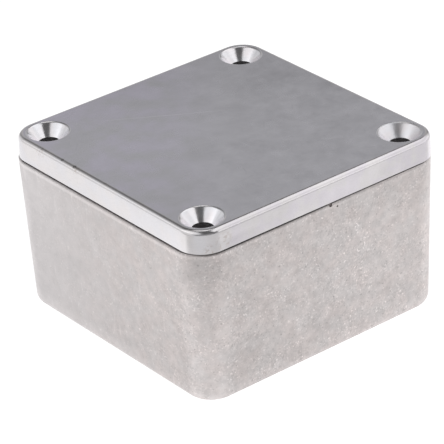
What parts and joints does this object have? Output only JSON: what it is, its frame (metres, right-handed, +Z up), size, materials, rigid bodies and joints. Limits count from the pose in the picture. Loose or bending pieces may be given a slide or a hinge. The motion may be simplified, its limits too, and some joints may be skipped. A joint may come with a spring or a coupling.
{
  "type": "die cast aluminium box",
  "caption": "Small square die cast box: a drafted base with rounded corners and corner screw pillars, closed by a flat lid with countersunk corner holes.",
  "frame": {"origin": "middle of the base's underside", "axes": "+Z up through the lid, X and Y along the square sides"},
  "size_m": [0.0504, 0.0504, 0.031],
  "materials": {
    "base_cast": "as cast and tumbled, matte with fine speckle",
    "lid_cast": "linished flat on top, satin, with bright countersinks"
  },
  "bodies": {
    "root": {"base": "base_cast", "lid": "lid_cast"}
  },
  "joints": []
}
